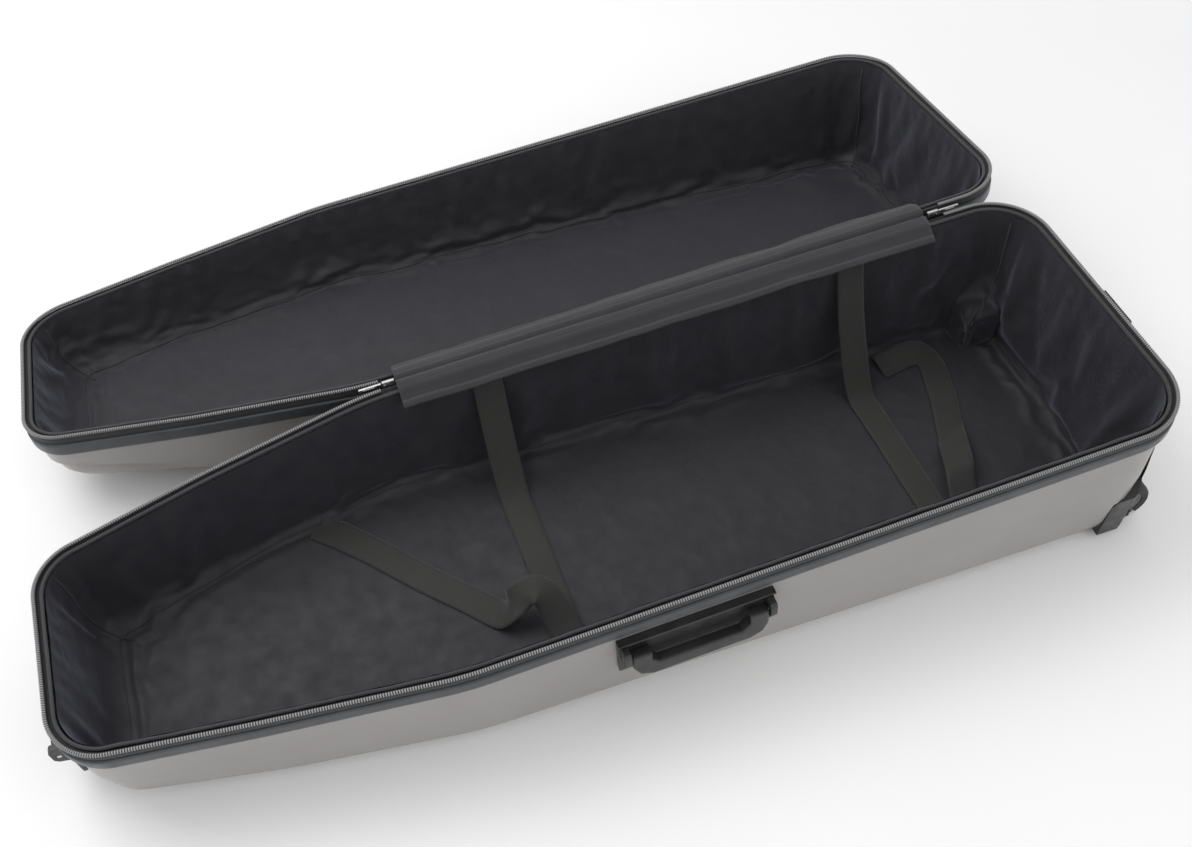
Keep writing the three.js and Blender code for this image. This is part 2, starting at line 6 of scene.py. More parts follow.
import bmesh
import bpy
import numpy as np
from mathutils import Matrix, Vector, noise
from mathutils.bvhtree import BVHTree
from mathutils.geometry import delaunay_2d_cdt


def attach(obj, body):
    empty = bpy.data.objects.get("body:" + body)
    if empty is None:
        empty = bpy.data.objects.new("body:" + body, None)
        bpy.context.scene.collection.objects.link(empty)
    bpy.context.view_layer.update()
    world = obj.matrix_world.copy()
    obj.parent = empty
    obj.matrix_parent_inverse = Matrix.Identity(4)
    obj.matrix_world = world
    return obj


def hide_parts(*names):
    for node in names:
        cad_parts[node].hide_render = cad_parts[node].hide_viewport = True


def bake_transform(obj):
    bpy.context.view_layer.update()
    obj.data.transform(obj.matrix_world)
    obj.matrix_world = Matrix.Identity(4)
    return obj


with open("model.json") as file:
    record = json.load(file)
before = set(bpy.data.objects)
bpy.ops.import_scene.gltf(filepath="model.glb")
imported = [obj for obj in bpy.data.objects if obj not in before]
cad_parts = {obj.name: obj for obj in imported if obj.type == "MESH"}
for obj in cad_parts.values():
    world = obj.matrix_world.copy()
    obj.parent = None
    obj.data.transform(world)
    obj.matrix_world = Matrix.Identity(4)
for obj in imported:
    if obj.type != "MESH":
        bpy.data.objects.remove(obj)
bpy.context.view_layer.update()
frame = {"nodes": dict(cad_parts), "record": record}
SCENE = bpy.context.scene
JOINTS = {j["name"]: j for j in frame["record"]["behaviour"]["joints"]}

# ---- the case's own dimensions, in metres -----------------------------------------------------------
HALF = 0.650
WIDTH = 0.406
PLAN = [  # planform corners: x, y, fillet radius
    (HALF, -WIDTH, 0.079), (HALF, 0.0, 0.077), (-0.240, 0.0, 0.400), (-0.445, -0.041, 0.400),
    (-HALF, -0.092, 0.061), (-HALF, -0.345, 0.070), (-0.440, -0.3775, 0.400), (-0.230, -WIDTH, 0.400),
]
BASE_DEPTH, BASE_SLOPE = 0.191, 0.062
LID_DEPTH, LID_SLOPE = 0.1468, 0.0705
HINGE_FROM, HINGE_TO = -0.199, 0.515
HINGE_OUT, HINGE_UP, HINGE_TILT, LID_OPEN = 0.005, 0.0026, 0.004, math.radians(188)
FLOOR_TOP = 0.0063  # the base shell's floor, inside
WHEEL_AT = (0.621, -0.035, 0.027)  # the rear wheel's centre over the level frame
TOOTH = 0.0028  # pitch of the zip's teeth

# ---- frames -----------------------------------------------------------------------------------------
wheel = JOINTS["rear_wheel_spin"]["pos_m"]
LEVEL = Matrix.Translation(Vector(wheel) - Vector(WHEEL_AT))
RIM = LEVEL @ Matrix.Rotation(-math.atan(BASE_SLOPE), 4, "Y") @ Matrix.Translation((0, 0, BASE_DEPTH))
pivot = Matrix.Translation((0, HINGE_OUT, HINGE_UP))
LID = (
    RIM @ pivot @ Matrix.Rotation(-HINGE_TILT, 4, "Y") @ Matrix.Rotation(-LID_OPEN, 4, "X")
    @ Matrix.Rotation(HINGE_TILT, 4, "Y") @ pivot.inverted()
    @ Matrix.Translation((0, 0, 2 * HINGE_UP)) @ Matrix.Diagonal((1, 1, -1, 1))
)
MATRICES = {"base": RIM, "lid": LID}


def placed(points, matrix):
    """Points of shape (..., 3) carried by a matrix."""
    m = np.array(matrix, float)
    return points @ m[:3, :3].T + m[:3, 3]


def arc_lengths(section, closed=True):
    """Distance from the first point to each point along a line."""
    pts = np.array(section, float)
    if closed:
        pts = np.vstack([pts, pts[:1]])
    return np.concatenate([[0], np.cumsum(np.linalg.norm(np.diff(pts, axis=0), axis=1))])


# ---- planform ---------------------------------------------------------------------------------------
def plan_line(inset):
    """The rim's outline drawn in by inset, counter-clockwise; every inset gives the same number of points."""
    n = len(PLAN)
    at = [np.array(c[:2]) for c in PLAN]
    corners = []
    for i in range(n):
        e1, e2 = at[i] - at[i - 1], at[(i + 1) % n] - at[i]
        e1, e2 = e1 / np.linalg.norm(e1), e2 / np.linalg.norm(e2)
        n1, n2 = np.array((-e1[1], e1[0])), np.array((-e2[1], e2[0]))
        corners.append(at[i] + (n1 + n2) * inset / (1 + n1 @ n2))
    pts = []
    for i, here in enumerate(corners):
        fillet = PLAN[i][2]
        radius = fillet if fillet > 0.1 else max(fillet - inset, 0.008)
        back, ahead = corners[i - 1] - here, corners[(i + 1) % n] - here
        back, ahead = back / np.linalg.norm(back), ahead / np.linalg.norm(ahead)
        half = math.acos(back @ ahead) / 2
        middle = back + ahead
        centre = here + middle / np.linalg.norm(middle) * radius / math.sin(half)
        start = here + back * radius / math.tan(half) - centre
        turn = math.pi - 2 * half
        for a in np.linspace(0, turn, 36):
            c, s = math.cos(a), math.sin(a)
            pts.append(centre + np.array((c * start[0] - s * start[1], s * start[0] + c * start[1])))
    pts.append(pts[0])
    return np.array(pts)


INSETS = np.linspace(-0.01, 0.09, 21)
TABLES = [plan_line(i) for i in INSETS]


class Rim:
    """Even samples of the rim from the hinge's wide end, along the hinge and on round the case."""

    def __init__(self, step=None, at=None):
        line = plan_line(0.0)
        s = arc_lengths(line, closed=False)
        self.total = s[-1]
        on_edge = (np.abs(line[:-1, 1]) < 1e-6) & (line[:-1, 0] < HINGE_TO + 0.1)
        k = np.argmax(on_edge & (np.diff(line[:, 0]) < 0))
        begin = s[k] - (HINGE_TO - line[k, 0])
        if at is None:
            count = int(round(self.total / step))
            at = np.arange(count) * self.total / count
        self.s = at
        where = (begin + at) % self.total
        self.tables = np.array([np.stack([np.interp(where, s, t[:, c]) for c in (0, 1)], 1) for t in TABLES])
        self.p = self.points(np.zeros(len(at)))

    def points(self, inset):
        """(x, y) at each sample, drawn in by inset, which has the samples along its first axis."""
        inset = np.asarray(inset, float)
        f = (inset - INSETS[0]) / (INSETS[1] - INSETS[0])
        low = np.clip(np.floor(f).astype(int), 0, len(INSETS) - 2)
        f = (f - low)[..., None]
        rows = np.arange(len(self.s)).reshape((-1,) + (1,) * (inset.ndim - 1))
        return self.tables[low, rows] * (1 - f) + self.tables[low + 1, rows] * f


FINE = Rim(0.003)
COARSE = Rim(0.009)
HINGE_LEN = HINGE_TO - HINGE_FROM


# ---- meshes -----------------------------------------------------------------------------------------
def new_object(name, verts, faces, uv=None):
    mesh = bpy.data.meshes.new(name)
    mesh.from_pydata([tuple(v) for v in verts], [], [tuple(f) for f in faces])
    mesh.polygons.foreach_set("use_smooth", [True] * len(mesh.polygons))
    if uv is not None:
        layer = mesh.uv_layers.new(name="UVMap")
        loops = np.zeros(len(mesh.loops), np.int64)
        mesh.loops.foreach_get("vertex_index", loops)
        layer.data.foreach_set("uv", np.asarray(uv, np.float32)[loops].ravel())
    mesh.update()
    obj = bpy.data.objects.new(name, mesh)
    SCENE.collection.objects.link(obj)
    return obj


def grid(name, pts, u, v, loop_u=False, loop_v=False, caps=False, flip=False):
    """A skin over points of shape (nu, nv, 3), with texture coordinates u and v in metres."""
    nu, nv = pts.shape[:2]
    if loop_u:
        pts = np.concatenate([pts, pts[:1]], 0)
        u = np.append(u, u[-1] + (u[1] - u[0]))
        nu += 1
    if loop_v:
        pts = np.concatenate([pts, pts[:, :1]], 1)
        v = np.append(v, v[-1] + (v[1] - v[0]))
        nv += 1
    i, j = np.meshgrid(np.arange(nu - 1), np.arange(nv - 1), indexing="ij")
    a = (i * nv + j).ravel()
    faces = np.stack([a, a + 1, a + nv + 1, a + nv], 1)
    if flip:
        faces = faces[:, ::-1]
    verts = pts.reshape(-1, 3)
    uu, vv = np.meshgrid(u, v, indexing="ij")
    faces = faces.tolist()
    if caps:
        ring = list(range(nv - (1 if loop_v else 0)))
        last = [(nu - 1) * nv + r for r in ring]
        faces += [ring if flip else ring[::-1], last[::-1] if flip else last]
    obj = new_object(name, verts, faces, np.stack([uu.ravel(), vv.ravel()], 1))
    if loop_u or loop_v:
        weld(obj)
    return obj


def weld(obj, distance=1e-6):
    """Joins the doubled points along a closing line, keeping the texture coordinates of each face."""
    bm = bmesh.new()
    bm.from_mesh(obj.data)
    bmesh.ops.remove_doubles(bm, verts=bm.verts, dist=distance)
    bm.to_mesh(obj.data)
    bm.free()


def rounded(section, radius, steps=3):
    """A closed cross-section with each corner rounded."""
    pts = np.array(section, float)
    out = []
    for i, here in enumerate(pts):
        a, b = pts[i - 1] - here, pts[(i + 1) % len(pts)] - here
        la, lb = np.linalg.norm(a), np.linalg.norm(b)
        r = min(radius, la * 0.45, lb * 0.45)
        p, q = here + a / la * r, here + b / lb * r
        for t in np.linspace(0, 1, steps + 1):
            out.append((1 - t) ** 2 * p + 2 * t * (1 - t) * here + t * t * q)
    return np.array(out)


def rim_sweep(name, section, matrix, wobble=None):
    """A closed cross-section of (inset, z) pairs swept all the way round the rim."""
    section = np.array(section, float)
    s = FINE.s
    inset = np.broadcast_to(section[None, :, 0], (len(s), len(section))).copy()
    z = np.broadcast_to(section[None, :, 1], (len(s), len(section))).copy()
    if wobble is not None:
        di, dz = wobble(s, section)
        inset += di
        z += dz
    pts = np.concatenate([FINE.points(inset), z[:, :, None]], 2)
    flip = np.linalg.det(np.array(matrix.to_3x3())) < 0
    return grid(name, placed(pts, matrix), s, arc_lengths(section)[:-1], loop_u=True, loop_v=True, flip=flip)


def tube(name, line, radius, sides=8, closed=False):
    """A round tube along a line of points."""
    line = np.asarray(line, float)
    tangent = np.gradient(line, axis=0)
    if closed:
        tangent = np.roll(line, -1, 0) - np.roll(line, 1, 0)
    tangent /= np.linalg.norm(tangent, axis=1)[:, None]
    up = np.zeros_like(tangent)
    up[:, 2] = 1
    flat = np.abs(tangent[:, 2]) > 0.95
    up[flat] = (0, 1, 0)
    side = np.cross(tangent, up)
    side /= np.linalg.norm(side, axis=1)[:, None]
    up = np.cross(side, tangent)
    angle = 2 * math.pi * np.arange(sides) / sides
    cos, sin = np.cos(angle)[None, :, None], np.sin(angle)[None, :, None]
    pts = line[:, None] + radius * (cos * side[:, None] + sin * up[:, None])
    s = arc_lengths(line, closed=False)
    return grid(name, pts, s, angle * radius, loop_u=closed, loop_v=True, caps=not closed)


def finish_piece(obj, body, material, slot, *nodes):
    obj.data.materials.clear()
    obj.data.materials.append(material)
    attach(obj, body)
    if nodes:
        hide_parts(*nodes)
    return obj


# ---- materials --------------------------------------------------------------------------------------
class Shader:
    """A node material under construction."""

    def __init__(self, name, colour, roughness, **inputs):
        self.material = bpy.data.materials.new(name)
        self.material.use_nodes = True
        self.tree = self.material.node_tree
        self.bsdf = self.tree.nodes["Principled BSDF"]
        self.set("Base Color", (*colour, 1))
        self.set("Roughness", roughness)
        for key, value in inputs.items():
            self.set(key.replace("_", " "), value)
        self.coords = self.node("ShaderNodeTexCoord")
        self.last_bump = None

    def set(self, name, value):
        self.bsdf.inputs[name].default_value = value

    def node(self, kind):
        return self.tree.nodes.new(kind)

    def link(self, a, b):
        self.tree.links.new(a, b)

    def space(self, scale=(1, 1, 1), uv=False, turn=0.0):
        m = self.node("ShaderNodeMapping")
        m.inputs["Scale"].default_value = scale
        m.inputs["Rotation"].default_value = (0, 0, turn)
        self.link(self.coords.outputs["UV" if uv else "Object"], m.inputs["Vector"])
        return m.outputs["Vector"]

    def noise(self, scale, detail=4, roughness=0.5, vector=None, distortion=0.0):
        n = self.node("ShaderNodeTexNoise")
        n.inputs["Scale"].default_value = scale
        n.inputs["Detail"].default_value = detail
        n.inputs["Roughness"].default_value = roughness
        n.inputs["Distortion"].default_value = distortion
        self.link(vector or self.coords.outputs["Object"], n.inputs["Vector"])
        return n.outputs["Fac"]

    def wave(self, scale, vector, direction):
        n = self.node("ShaderNodeTexWave")
        n.wave_type = "BANDS"
        n.bands_direction = direction
        n.wave_profile = "SIN"
        n.inputs["Scale"].default_value = scale
        n.inputs["Distortion"].default_value = 0.0
        self.link(vector, n.inputs["Vector"])
        return n.outputs["Fac"]

    def voronoi(self, scale, vector=None, feature="F1"):
        n = self.node("ShaderNodeTexVoronoi")
        n.feature = feature
        n.inputs["Scale"].default_value = scale
        n.inputs["Randomness"].default_value = 1.0
        self.link(vector or self.coords.outputs["Object"], n.inputs["Vector"])
        return n.outputs["Distance"]

    def math(self, operation, a, b=None, clamp=False):
        n = self.node("ShaderNodeMath")
        n.operation = operation
        n.use_clamp = clamp
        for socket, value in zip(n.inputs, (a, b)):
            if value is None:
                continue
            if isinstance(value, (int, float)):
                socket.default_value = value
            else:
                self.link(value, socket)
        return n.outputs[0]

    def ramp(self, value, low, high, out_low=0.0, out_high=1.0):
        n = self.node("ShaderNodeMapRange")
        n.inputs["From Min"].default_value = low
        n.inputs["From Max"].default_value = high
        n.inputs["To Min"].default_value = out_low
        n.inputs["To Max"].default_value = out_high
        self.link(value, n.inputs["Value"])
        return n.outputs["Result"]

    def mix(self, factor, a, b):
        """A colour between a and b; each is a colour or another output."""
        n = self.node("ShaderNodeMix")
        n.data_type = "RGBA"
        self.link(factor, n.inputs["Factor"])
        for socket, value in ((n.inputs[6], a), (n.inputs[7], b)):
            if isinstance(value, tuple):
                socket.default_value = (*value, 1)
            else:
                self.link(value, socket)
        return n.outputs[2]

    def colour(self, output):
        self.link(output, self.bsdf.inputs["Base Color"])

    def roughness(self, output):
        self.link(output, self.bsdf.inputs["Roughness"])

    def bump(self, height, distance, strength=1.0):
        """Adds a relief of that height in metres on top of those already there."""
        n = self.node("ShaderNodeBump")
        n.inputs["Strength"].default_value = strength
        n.inputs["Distance"].default_value = distance
        self.link(height, n.inputs["Height"])
        if self.last_bump is not None:
            self.link(self.last_bump, n.inputs["Normal"])
        self.last_bump = n.outputs["Normal"]
        self.link(self.last_bump, self.bsdf.inputs["Normal"])

    def uv_axis(self, axis):
        n = self.node("ShaderNodeSeparateXYZ")
        self.link(self.coords.outputs["UV"], n.inputs[0])
        return n.outputs[axis]

    def seam(self, at, half_width, pitch=0.0032, filled=0.68):
        """Mask of a row of stitches along u, at v = at."""
        u, v = self.uv_axis("X"), self.uv_axis("Y")
        away = self.math("ABSOLUTE", self.math("SUBTRACT", v, at))
        line = self.ramp(away, half_width, half_width * 0.6)
        step = self.math("FRACT", self.math("DIVIDE", u, pitch))
        dash = self.math("LESS_THAN", step, filled)
        return self.math("MULTIPLY", line, dash, clamp=True)


def shell_material():
    m = Shader("shell_satin", (0.30, 0.285, 0.275), 0.33)
    m.set("Specular IOR Level", 0.5)
    m.set("Coat Weight", 0.25)
    m.set("Coat Roughness", 0.28)
    cloud = m.noise(6, 3)
    speck = m.noise(900, 2)
    base = m.mix(m.ramp(cloud, 0.3, 0.7), (0.235, 0.222, 0.214), (0.265, 0.251, 0.242))
    rub = m.ramp(m.noise(120, 5, 0.6, m.space((0.6, 1, 1))), 0.3, 0.8)
    m.colour(m.mix(m.math("MULTIPLY", rub, 0.10), base, (0.33, 0.315, 0.305)))
    gloss = m.ramp(m.noise(14, 6, 0.65), 0.3, 0.75, 0.27, 0.40)
    m.roughness(m.math("ADD", gloss, m.math("MULTIPLY", rub, 0.06)))
    m.bump(m.noise(9, 2, 0.4), 0.004, 0.25)
    m.bump(speck, 0.00006, 0.6)
    return m.material


def moulded(name, colour, roughness, grain=1400, depth=0.00008, wear=(0.30, 0.30, 0.30)):
    m = Shader(name, colour, roughness)
    cloud = m.noise(30, 4)
    lighter = tuple(min(1, c * 1.5 + 0.004) for c in colour)
    scuff = m.ramp(m.noise(160, 6, 0.75), 0.62, 0.78)
    body = m.mix(m.ramp(cloud, 0.3, 0.7), colour, lighter)
    m.colour(m.mix(m.math("MULTIPLY", scuff, 0.18), body, wear))
    m.roughness(m.ramp(m.noise(60, 5), 0.3, 0.7, roughness - 0.07, roughness + 0.12))
    m.bump(m.voronoi(grain), depth, 0.7)
    m.bump(m.noise(40, 3), 0.0004, 0.2)
    return m.material


def metal(name, colour, roughness):
    m = Shader(name, colour, roughness, Metallic=1.0)
    m.roughness(m.ramp(m.noise(300, 6, 0.7), 0.3, 0.7, roughness * 0.7, roughness * 1.6))
    m.colour(m.mix(m.ramp(m.noise(90, 4), 0.35, 0.7), colour, tuple(c * 0.82 for c in colour)))
    m.bump(m.noise(800, 3), 0.00003, 0.5)
    return m.material


def rubber_material():
    m = Shader("rubber_dark", (0.022, 0.022, 0.023), 0.78)
    dust = m.ramp(m.noise(70, 6, 0.7), 0.45, 0.75)
    m.colour(m.mix(m.math("MULTIPLY", dust, 0.5), (0.020, 0.020, 0.021), (0.10, 0.098, 0.094)))
    m.roughness(m.ramp(dust, 0, 1, 0.65, 0.9))
    m.bump(m.noise(700, 4, 0.7), 0.0002, 0.6)
    return m.material


def nylon(name, dark, light, roughness=0.62, sheen=0.25):
    m = Shader(name, dark, roughness)
    m.set("Sheen Weight", sheen)
    m.set("Sheen Roughness", 0.45)
    m.set("Sheen Tint", (0.75, 0.78, 0.95, 1))
    space = m.space((1, 1, 1), turn=0.08)
    warp = m.wave(420, space, "X")
    weft = m.wave(420, space, "Y")
    weave = m.math("MULTIPLY", warp, weft)
    cloud = m.noise(16, 5, 0.6)
    body = m.mix(m.ramp(cloud, 0.3, 0.75), dark, light)
    m.colour(m.mix(m.math("MULTIPLY", weave, 0.35), body, tuple(c * 1.7 for c in light)))
    m.roughness(m.ramp(m.noise(45, 5), 0.3, 0.7, roughness - 0.1, roughness + 0.1))
    crease = m.voronoi(26, m.space((1, 1, 1)), "DISTANCE_TO_EDGE")
    m.bump(m.ramp(crease, 0.0, 0.22), 0.0007, 0.25)
    m.bump(m.noise(38, 4, 0.55, distortion=0.6), 0.0022, 0.3)
    m.bump(weave, 0.00012, 0.8)
    return m.material


def webbing_material(name, stitches=()):
    m = Shader(name, (0.028, 0.027, 0.026), 0.72)
    m.set("Sheen Weight", 0.2)
    m.set("Sheen Roughness", 0.5)
    u, v = m.uv_axis("X"), m.uv_axis("Y")
    fold = m.math("ABSOLUTE", m.math("SUBTRACT", m.math("FRACT", m.math("DIVIDE", v, 0.0064)), 0.5))
    slant = m.math("ADD", m.math("DIVIDE", u, 0.0030), m.math("MULTIPLY", fold, 2.2))
    rib = m.math("ABSOLUTE", m.math("SUBTRACT", m.math("FRACT", slant), 0.5))
    edge = m.math("FRACT", m.math("DIVIDE", v, 0.0016))
    body = m.mix(m.ramp(rib, 0.05, 0.4), (0.005, 0.005, 0.005), (0.030, 0.0285, 0.0265))
    for at in stitches:
        body = m.mix(m.seam(at, 0.0006), body, (0.09, 0.09, 0.088))
    m.colour(m.mix(m.ramp(m.noise(35, 4), 0.3, 0.75, 0.0, 0.35), body, (0.026, 0.025, 0.023)))
    m.bump(rib, 0.0005, 0.8)
    m.bump(edge, 0.0001, 0.4)
    m.bump(m.noise(25, 4), 0.002, 0.3)
    return m.material


def band_cloth(name, colour, light, stitches, edges=(), scale=900):
    """Woven cloth with rows of stitches and lighter edge lines at given distances across it."""
    m = Shader(name, colour, 0.75)
    m.set("Sheen Weight", 0.15)
    v = m.uv_axis("Y")
    space = m.space((1, 1, 1), uv=True)
    weave = m.math("MULTIPLY", m.wave(scale, space, "X"), m.wave(scale, space, "Y"))
    body = m.mix(m.ramp(m.noise(20, 5), 0.3, 0.75), colour, light)
    body = m.mix(m.math("MULTIPLY", weave, 0.3), body, tuple(c * 2 for c in light))
    for at, width in edges:
        away = m.math("ABSOLUTE", m.math("SUBTRACT", v, at))
        body = m.mix(m.ramp(away, width, width * 0.5), body, (0.055, 0.056, 0.060))
    for at in stitches:
        mask = m.seam(at, 0.00045)
        body = m.mix(mask, body, (0.045, 0.045, 0.048))
        m.bump(mask, 0.0005, 0.8)
        away = m.math("ABSOLUTE", m.math("SUBTRACT", v, at))
        m.bump(m.ramp(away, 0.0, 0.0018), 0.0006, 0.6)
    m.colour(body)
    m.bump(m.noise(45, 5, 0.6, distortion=0.5), 0.0018, 0.45)
    m.bump(weave, 0.0002, 0.7)
    return m.material


def coil_material():
    m = Shader("zip_coil_nylon", (0.20, 0.20, 0.205), 0.35)
    u = m.uv_axis("X")
    tooth = m.math("ABSOLUTE", m.math("SUBTRACT", m.math("FRACT", m.math("DIVIDE", u, TOOTH)), 0.5))
    # The near-black in the narrow gaps between the teeth is painted shade standing in for the shadowed gaps;
    # the lighter grey on the teeth is the coil's own colour.
    m.colour(m.mix(m.ramp(tooth, 0.12, 0.38), (0.005, 0.005, 0.005), (0.30, 0.30, 0.305)))
    m.roughness(m.ramp(m.noise(200, 4), 0.3, 0.7, 0.28, 0.5))
    m.bump(m.noise(500, 2), 0.0001, 0.4)
    return m.material


def floor_material():
    m = Shader("stage_floor", (0.86, 0.86, 0.86), 0.8)
    m.colour(m.mix(m.ramp(m.noise(1.5, 4), 0.3, 0.7), (0.85, 0.85, 0.855), (0.88, 0.88, 0.88)))
    return m.material


SHELL = shell_material()
LIP = moulded("rim_moulding", (0.026, 0.029, 0.034), 0.34, grain=1600, depth=0.00005)
BLACK = moulded("moulded_black", (0.011, 0.0112, 0.012), 0.36)
HUB = moulded("hub_grey", (0.13, 0.135, 0.14), 0.45)
STEEL = metal("plated_steel", (0.62, 0.62, 0.63), 0.22)
ZINC = metal("plated_zinc", (0.66, 0.66, 0.67), 0.26)
RUBBER = rubber_material()
LINING = nylon("lining_nylon", (0.0115, 0.0112, 0.0145), (0.0165, 0.0160, 0.0205))
COIL = coil_material()
TAPE = band_cloth("zip_tape_cloth", (0.009, 0.009, 0.010), (0.014, 0.014, 0.016), [0.0052], [], 1100)
HINGE = band_cloth("hinge_cloth", (0.0125, 0.0125, 0.0150), (0.0175, 0.0175, 0.0205),
                   [0.006, 0.0095, 0.0275, 0.0525, 0.0705, 0.074], [(0.0078, 0.0008), (0.0722, 0.0008)])
BINDING = band_cloth("binding_cloth", (0.022, 0.0225, 0.026), (0.032, 0.033, 0.038), [0.003], [], 1000)
WEBBING = webbing_material("webbing_black")


# ---- CAD nodes that keep their own shape -----------------------------------------------------------
def dress(node, material, angle=35, bevel=0.0):
    """Smooth shading and a material on a CAD node; its mesh stays as packed."""
    o = frame["nodes"][node]
    o.data.materials.clear()
    o.data.materials.append(material)
    o.data.polygons.foreach_set("use_smooth", [True] * len(o.data.polygons))
    o.data.polygons.foreach_set("material_index", [0] * len(o.data.polygons))
    if "custom_normal" in o.data.attributes:
        o.data.attributes.remove(o.data.attributes["custom_normal"])
    join = o.modifiers.new("join", "WELD")
    join.merge_threshold = 2e-5
    if bevel:
        b = o.modifiers.new("edges", "BEVEL")
        b.width = bevel
        b.segments = 2
        b.limit_method = "ANGLE"
        b.angle_limit = math.radians(angle)
        w = o.modifiers.new("shade", "WEIGHTED_NORMAL")
        w.keep_sharp = True
    else:
        split = o.modifiers.new("edges", "EDGE_SPLIT")
        split.split_angle = math.radians(angle)


for name in ("base_shell", "lid_shell"):
    dress(name, SHELL, 40)
for prefix in ("side_handle", "end_handle"):
    for part in ("tray", "ear_left", "ear_right", "grip"):
        dress(f"{prefix}_{part}", BLACK, 30, 0.0008)
    for side in ("left", "right"):
        dress(f"{prefix}_pin_{side}", STEEL)
for side in ("front", "rear"):
    dress(f"{side}_wheel_housing", BLACK, 40)
    dress(f"{side}_wheel_tyre", RUBBER, 30)
    dress(f"{side}_wheel_hub", HUB, 30)
    dress(f"{side}_wheel_axle", STEEL)
    dress(f"foot_{side}", RUBBER)
dress("end_rim_plate", BLACK, 30, 0.001)
for side in ("wide", "narrow"):
    dress(f"{side}_zip_slider", ZINC, 30, 0.0006)
    dress(f"{side}_zip_pull", ZINC, 30, 0.0004)
for side in ("left", "right"):
    dress(f"{side}_ring", STEEL, 60)


# ---- lining cloth -----------------------------------------------------------------------------------
GROWTH = 0.022  # how much larger the lining is cut than its shell
LINING_INSET, LINING_LIFT = 0.0109, 0.0059  # the CAD lining's inner face, from the rim's edge and the bottom
WALL_ROWS = 20  # rows of cloth points from the rim down to the floor
CLOTH_STEP = 0.0095  # spacing of the cloth's points over the floor
CLOTH_GAP = 0.004  # the cloth starts this far inside the CAD lining
CLOTH_FRAMES = 26


def smoothstep(x, a, b):
    t = np.clip((x - a) / (b - a), 0, 1)
    return t * t * (3 - 2 * t)


def cup_profile(x, depth, margin):
    """The lining's inner face at x, moved in by margin: (inset, z) from the top down to the floor."""
    w = float(smoothstep(-x, 0.430, 0.590))
    inset = LINING_INSET + margin
    radius = 0.0241 * (1 - w) + 0.0391 * w
    foot = inset + 0.007
    lift = LINING_LIFT + margin
    pts = [(inset, -0.004), (inset + 0.0014, -0.040), (inset + 0.0015, -0.52 * depth)]
    for a in np.linspace(0, math.pi / 2, 7):
        pts.append((foot + radius * (1 - math.cos(a)), -depth + lift + radius * (1 - math.sin(a))))
    pts = np.array(pts)
    if pts[2, 1] < pts[3, 1] + 0.004:
        pts = np.delete(pts, 2, 0)
    return pts


def cup_sheet(name, depth0, slope, matrix, seed):
    """One cloth that lines a whole shell: wall rows below the rim, then a floor of even triangles."""
    margin, rows, spacing = CLOTH_GAP, WALL_ROWS, CLOTH_STEP
    s = COARSE.s
    count = len(s)
    insets = np.zeros((count, rows))
    wall = np.zeros((rows, count, 3))
    for i in range(count):
        x = COARSE.p[i, 0]
        profile = cup_profile(x, depth0 + slope * x, margin)
        along = arc_lengths(profile, closed=False)
        at = np.linspace(0, along[-1], rows)
        insets[i] = np.interp(at, along, profile[:, 0])
        wall[:, i, 2] = np.interp(at, along, profile[:, 1])
    wall[:, :, :2] = COARSE.points(insets).transpose(1, 0, 2)
    edge = wall[-1, :, :2]
    rng = np.random.default_rng(seed)
    xs = np.arange(edge[:, 0].min(), edge[:, 0].max(), spacing)
    ys = np.arange(edge[:, 1].min(), edge[:, 1].max(), spacing * 0.866)
    gx, gy = np.meshgrid(xs, ys)
    gx = gx + (np.arange(len(ys)) % 2)[:, None] * spacing / 2
    inner = np.stack([gx.ravel(), gy.ravel()], 1) + rng.uniform(-0.12, 0.12, (gx.size, 2)) * spacing
    a, b = edge, np.roll(edge, -1, 0)
    keep = []
    for q in inner:
        near = np.min(np.hypot(edge[:, 0] - q[0], edge[:, 1] - q[1])) > 0.55 * spacing
        cross = ((a[:, 1] > q[1]) != (b[:, 1] > q[1])) & (
            q[0] < (b[:, 0] - a[:, 0]) * (q[1] - a[:, 1]) / (b[:, 1] - a[:, 1] + 1e-12) + a[:, 0])
        keep.append(near and cross.sum() % 2 == 1)
    inner = inner[np.array(keep)]
    flat = [Vector(q) for q in edge] + [Vector(q) for q in inner]
    edges = [(i, (i + 1) % count) for i in range(count)]
    made = delaunay_2d_cdt(flat, edges, [], 1, 1e-7)
    order = {}
    for new, old in enumerate(made[3]):
        for o in old:
            order[new] = o
    floor_faces = [[order[k] for k in f] for f in made[2]]
    z = -(depth0 + slope * inner[:, 0]) + LINING_LIFT + margin
    verts = np.vstack([wall.reshape(-1, 3), np.column_stack([inner, z])])
    i, j = np.meshgrid(np.arange(rows - 1), np.arange(count), indexing="ij")
    a = (i * count + j).ravel()
    b = (i * count + (j + 1) % count).ravel()
    faces = np.stack([a, b, b + count, a + count], 1).tolist()
    offset = (rows - 1) * count
    faces += [[offset + k for k in f][::-1] for f in floor_faces]
    if np.linalg.det(np.array(matrix.to_3x3())) > 0:
        faces = [f[::-1] for f in faces]
    uv = np.zeros((len(verts), 2))
    uv[:, 0] = np.concatenate([np.tile(s, rows), inner[:, 0]])
    uv[:, 1] = np.concatenate([np.repeat(np.arange(rows) * 0.01, count), inner[:, 1]])
    obj = new_object(name, placed(verts, matrix), faces, uv)
    return obj, count


def inner_skin(node, middle):
    """The faces of a CAD lining that look into its shell."""
    mesh = frame["nodes"][node].data
    middle = Vector(middle)
    polys = []
    for f in mesh.polygons:
        to = Vector((max(-0.5, min(0.56, f.center.x)), middle.y, middle.z)) - f.center
        if f.normal.dot(to) > 0 and f.normal.length > 0.5:
            polys.append(list(f.vertices))
    verts = [v.co.copy() for v in mesh.vertices]
    return verts, polys


